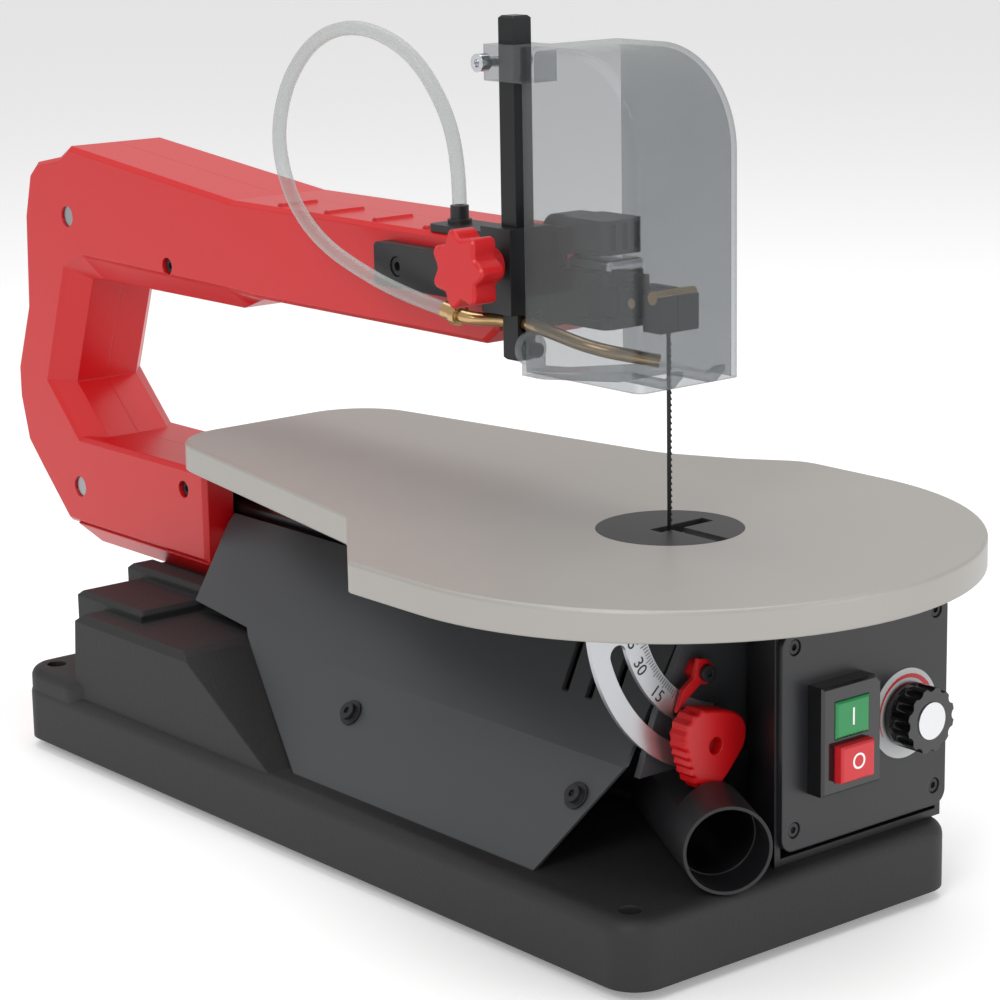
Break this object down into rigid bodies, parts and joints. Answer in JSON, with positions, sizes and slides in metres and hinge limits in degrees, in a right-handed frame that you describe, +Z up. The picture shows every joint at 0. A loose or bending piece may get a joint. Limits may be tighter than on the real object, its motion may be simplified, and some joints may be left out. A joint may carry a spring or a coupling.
{
  "type": "scroll saw",
  "caption": "Bench scroll saw with a C-shaped arm housing, a tilting table, a clear blade guard, a blower hose and a front control panel.",
  "frame": {"origin": "centre of the four bench bolt holes, on the underside of the base casting", "axes": "+X towards the operator along the arms, +Y to the operator's right, +Z up"},
  "size_m": [0.571, 0.248, 0.348],
  "materials": {
    "aluminium": "spun aluminium",
    "black_casting": "black textured casting",
    "black_plastic": "black moulding",
    "board": "circuit board",
    "brass": "tinted metal",
    "bronze": "bronze bush",
    "chrome": "chromed steel",
    "clear": "clear moulding",
    "dark_sheet": "dark grey painted sheet",
    "gloss_black": "gloss black moulding",
    "green_plastic": "green button",
    "hose": "translucent soft tube",
    "label": "printed grey label",
    "motor_paint": "dark painted motor case",
    "red_button": "red button",
    "red_plastic": "satin red moulding",
    "rubber": "black rubber",
    "steel": "bright steel",
    "table_casting": "satin grey casting",
    "zinc": "zinc plated steel"
  },
  "bodies": {
    "root": {"base_casting": "black_casting", "rubber_feet": "rubber", "cable_gland": "black_plastic", "arm_shell_left": "red_plastic", "arm_shell_right": "red_plastic", "housing_screws": "black_plastic", "arm_pivot_pins": "steel", "arm_bushes": "bronze", "frame_plate": "dark_sheet", "rear_cross_plate": "dark_sheet", "front_plate": "dark_sheet", "side_cover": "dark_sheet", "far_cover": "dark_sheet", "dust_port": "black_plastic", "motor_body": "motor_paint", "air_bellows": "rubber", "switch_box": "black_plastic", "control_panel": "black_plastic", "switch_frame": "gloss_black", "dial_label": "label", "speed_pot": "black_plastic", "control_board": "board", "table_pivot_pins": "steel", "tilt_pointer": "red_plastic", "guard_bracket": "black_plastic", "bracket_screws": "black_plastic", "hose_clip_plate": "black_plastic"},
    "table": {"table": "table_casting", "table_insert": "black_plastic", "tilt_scale": "zinc", "scale_screws": "black_plastic"},
    "tilt_lock": {"tilt_lock_knob": "red_plastic"},
    "guard_rod": {"guard_rod": "steel", "blade_guard": "clear", "guard_screw": "chrome", "hold_down_screw": "black_plastic", "blower_nozzle": "brass", "hose_end_fitting": "brass", "blower_hose": "hose"},
    "hold_down_foot": {"hold_down_foot": "clear"},
    "guard_lock": {"guard_lock_knob": "red_plastic"},
    "speed_knob": {"speed_knob": "gloss_black", "speed_knob_cap": "aluminium"},
    "start_button": {"start_button": "green_plastic"},
    "stop_button": {"stop_button": "red_button"},
    "lower_arm": {"lower_arm": "steel", "conrod_pins": "steel"},
    "upper_arm": {"upper_arm": "steel", "tension_strap": "chrome"},
    "tension_lever": {"tension_lever": "black_plastic"},
    "upper_clamp": {"upper_blade_holder": "steel", "upper_holder_pins": "brass", "blade_clamp_screw": "black_plastic", "saw_blade": "steel"},
    "lower_clamp": {"lower_blade_holder": "steel", "lower_holder_pins": "brass"},
    "tension_link": {"tension_link": "steel"},
    "crank": {"crank_shaft": "steel", "motor_fan": "steel"},
    "connecting_rod": {"connecting_rod": "steel"}
  },
  "joints": [
    {"name": "table_tilt", "type": "hinge", "parent": "root", "child": "table", "pos_m": [0.136, 0.005, 0.133], "axis": [1, 0, 0], "range_deg": [0, 45]},
    {"name": "tilt_lock_turn", "type": "hinge", "parent": "root", "child": "tilt_lock", "pos_m": [0.177, -0.01827, 0.07392], "axis": [1, 0, 0], "range_deg": [0, 180]},
    {"name": "guard_height", "type": "slide", "parent": "root", "child": "guard_rod", "axis": [0, 0, 1], "range_m": [-0.05, 0], "deforming": ["blower_hose"]},
    {"name": "foot_tilt", "type": "hinge", "parent": "guard_rod", "child": "hold_down_foot", "pos_m": [0.081, -0.0195, 0.213], "axis": [1, 0, 0], "range_deg": [0, 8]},
    {"name": "guard_lock_turn", "type": "hinge", "parent": "root", "child": "guard_lock", "pos_m": [0.0755, -0.04, 0.247], "axis": [0, -1, 0], "range_deg": [0, 180]},
    {"name": "speed_turn", "type": "hinge", "parent": "root", "child": "speed_knob", "pos_m": [0.208, 0.0625, 0.0747], "axis": [1, 0, 0], "range_deg": [0, 270]},
    {"name": "start_press", "type": "slide", "parent": "root", "child": "start_button", "axis": [-1, 0, 0], "range_m": [0, 0.0025], "stiffness_N_per_m": 800},
    {"name": "stop_press", "type": "slide", "parent": "root", "child": "stop_button", "axis": [-1, 0, 0], "range_m": [0, 0.0025], "stiffness_N_per_m": 800},
    {"name": "lower_arm_rock", "type": "hinge", "parent": "root", "child": "lower_arm", "pos_m": [-0.259, 0.005, 0.101], "axis": [0, -1, 0], "range_deg": [-1.3, 1.3]},
    {"name": "upper_arm_rock", "type": "hinge", "parent": "root", "child": "upper_arm", "pos_m": [-0.259, 0.005, 0.234], "axis": [0, -1, 0], "range_deg": [-1.3, 1.3], "deforming": ["air_bellows"]},
    {"name": "tension_release", "type": "hinge", "parent": "upper_arm", "child": "tension_lever", "pos_m": [0.078, 0.005, 0.256], "axis": [0, -1, 0], "range_deg": [0, 80]},
    {"name": "upper_clamp_swing", "type": "hinge", "parent": "upper_arm", "child": "upper_clamp", "pos_m": [0.124, 0.005, 0.234], "axis": [0, -1, 0], "range_deg": [-1.31, 1.31]},
    {"name": "lower_clamp_swing", "type": "hinge", "parent": "lower_arm", "child": "lower_clamp", "pos_m": [0.124, 0.005, 0.101], "axis": [0, -1, 0], "range_deg": [-1.31, 1.31]},
    {"name": "link_lift", "type": "slide", "parent": "root", "child": "tension_link", "axis": [0, 0, 1], "range_m": [-0.0009, 0.0009]},
    {"name": "crank_turn", "type": "hinge", "parent": "root", "child": "crank", "pos_m": [0.026, 0.005, 0.062], "axis": [0, -1, 0], "continuous": true},
    {"name": "connecting_rod_swing", "type": "hinge", "parent": "crank", "child": "connecting_rod", "pos_m": [0.03249, 0.005, 0.062], "axis": [0, -1, 0], "continuous": true}
  ],
  "couplings": [
    {"joint": "upper_arm_rock", "follows": "lower_arm_rock", "ratio": 1},
    {"joint": "upper_clamp_swing", "follows": "lower_arm_rock", "ratio": -1},
    {"joint": "lower_clamp_swing", "follows": "lower_arm_rock", "ratio": -1},
    {"joint": "link_lift", "follows": "lower_arm_rock", "m_per_rad": -0.032},
    {"joint": "connecting_rod_swing", "follows": "crank_turn", "ratio": -1}
  ]
}
